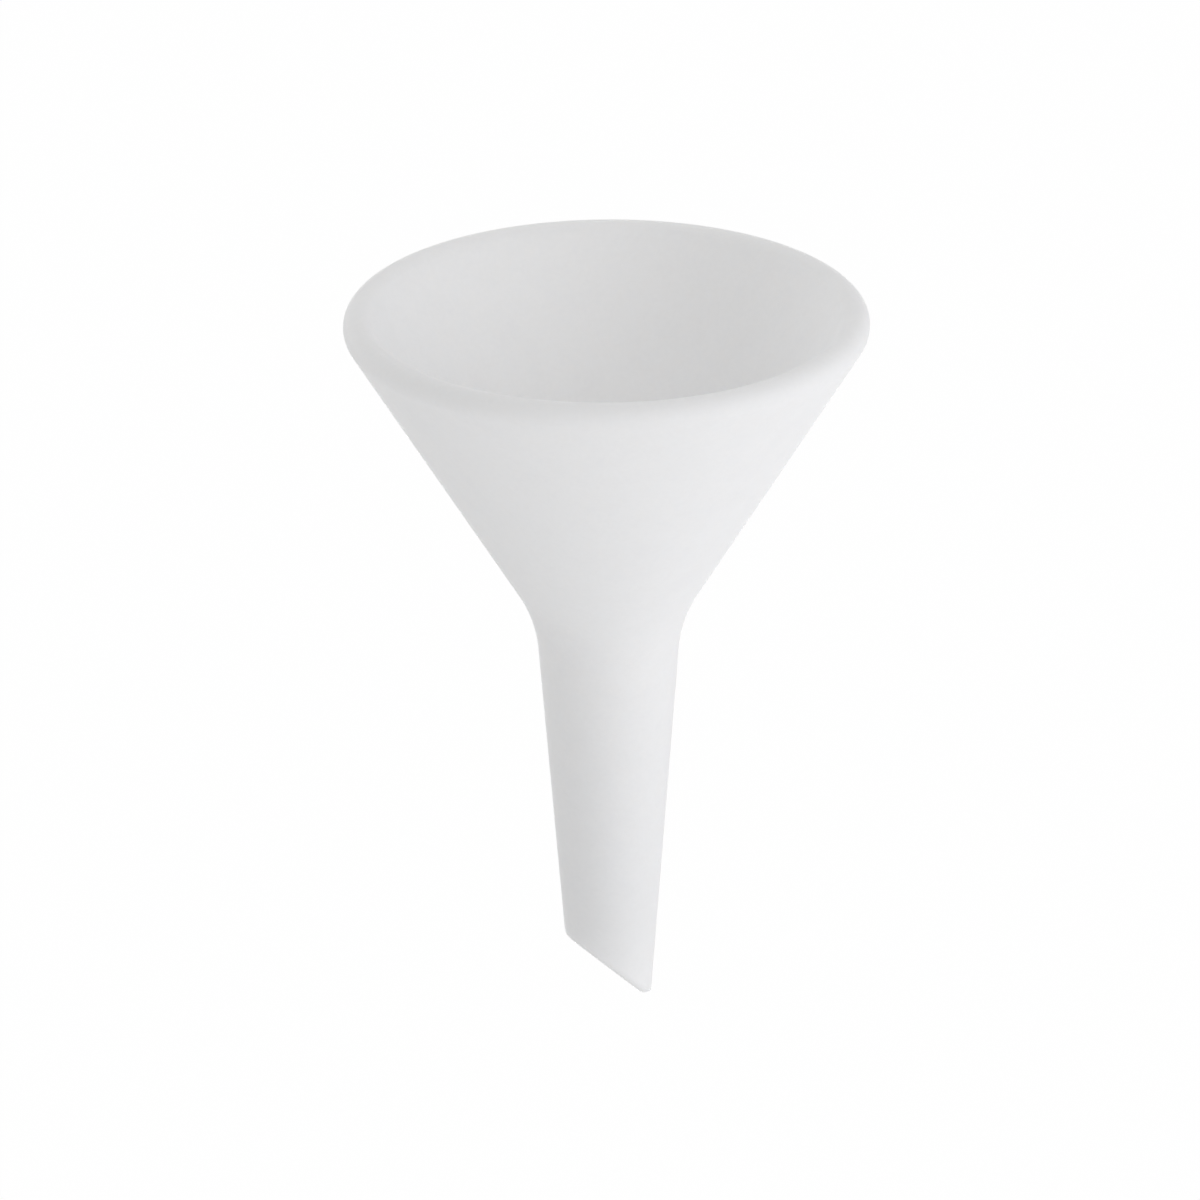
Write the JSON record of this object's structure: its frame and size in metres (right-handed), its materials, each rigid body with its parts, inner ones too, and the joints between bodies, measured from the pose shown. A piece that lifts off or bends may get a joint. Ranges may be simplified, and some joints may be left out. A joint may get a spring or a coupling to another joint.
{
  "type": "conical laboratory funnel",
  "caption": "Thick-walled conical funnel with a rounded lip, a blended neck and a tapered stem with a slanted end, for pouring liquids into narrow necks.",
  "frame": {"origin": "on the axis, in the plane of the circle on the outer cone that a support ring carries", "axes": "+Z along the axis, up out of the bowl; +X towards the long side of the slanted stem end"},
  "size_m": [0.075, 0.075, 0.116],
  "materials": {
    "white_fluoropolymer": "satin, waxy white, faintly translucent, with fine turning marks"
  },
  "bodies": {
    "root": {"funnel": "white_fluoropolymer"}
  },
  "joints": []
}
